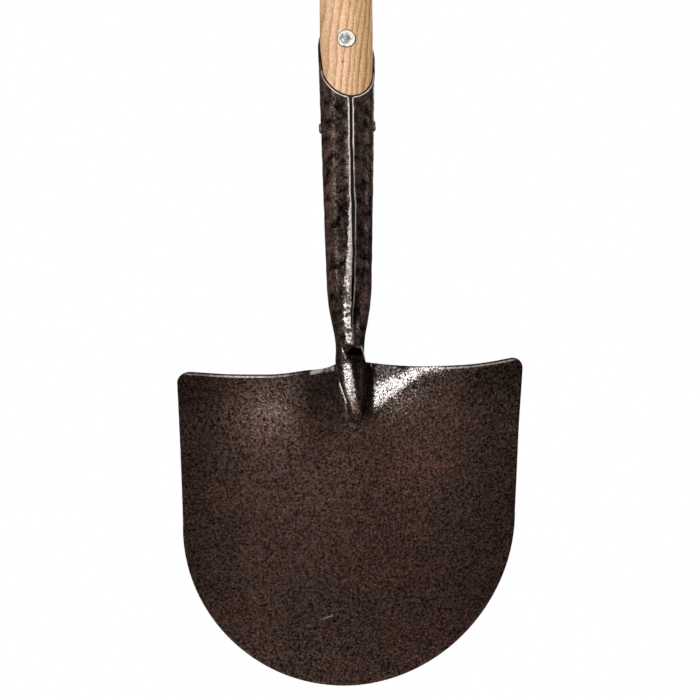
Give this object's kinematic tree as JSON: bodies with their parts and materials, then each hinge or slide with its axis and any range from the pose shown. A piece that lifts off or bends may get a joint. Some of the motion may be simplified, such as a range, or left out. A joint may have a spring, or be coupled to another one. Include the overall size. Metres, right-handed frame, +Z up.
{
  "type": "round point shovel",
  "caption": "Long-handled digging shovel: dished round-point forged blade, rolled open-seam socket, straight ash shaft held by a cross rivet and a strap rivet.",
  "frame": {"origin": "on the shaft's axis, in the middle of the place where a rack clip grips it, 90 mm above the top of the socket's tongue", "axes": "+Z up the shaft towards its free end, -Y out of the blade's dished face, +X to the right of someone looking at that face; the point hangs down"},
  "size_m": [0.247, 0.0578, 1.4428],
  "materials": {
    "forged_steel": "brown-black forging scale under a thin clear lacquer",
    "ash_wood": "smooth oiled ash with straight grain",
    "darkened_rivet": "darkened steel, worn bright on the crown",
    "bright_rivet": "peened bright steel",
    "zinc_washer": "bright zinc plate"
  },
  "bodies": {
    "root": {"forged_head": "forged_steel", "ash_handle": "ash_wood", "side_rivet": "darkened_rivet", "strap_rivet": "bright_rivet", "strap_washer": "zinc_washer"}
  },
  "joints": []
}
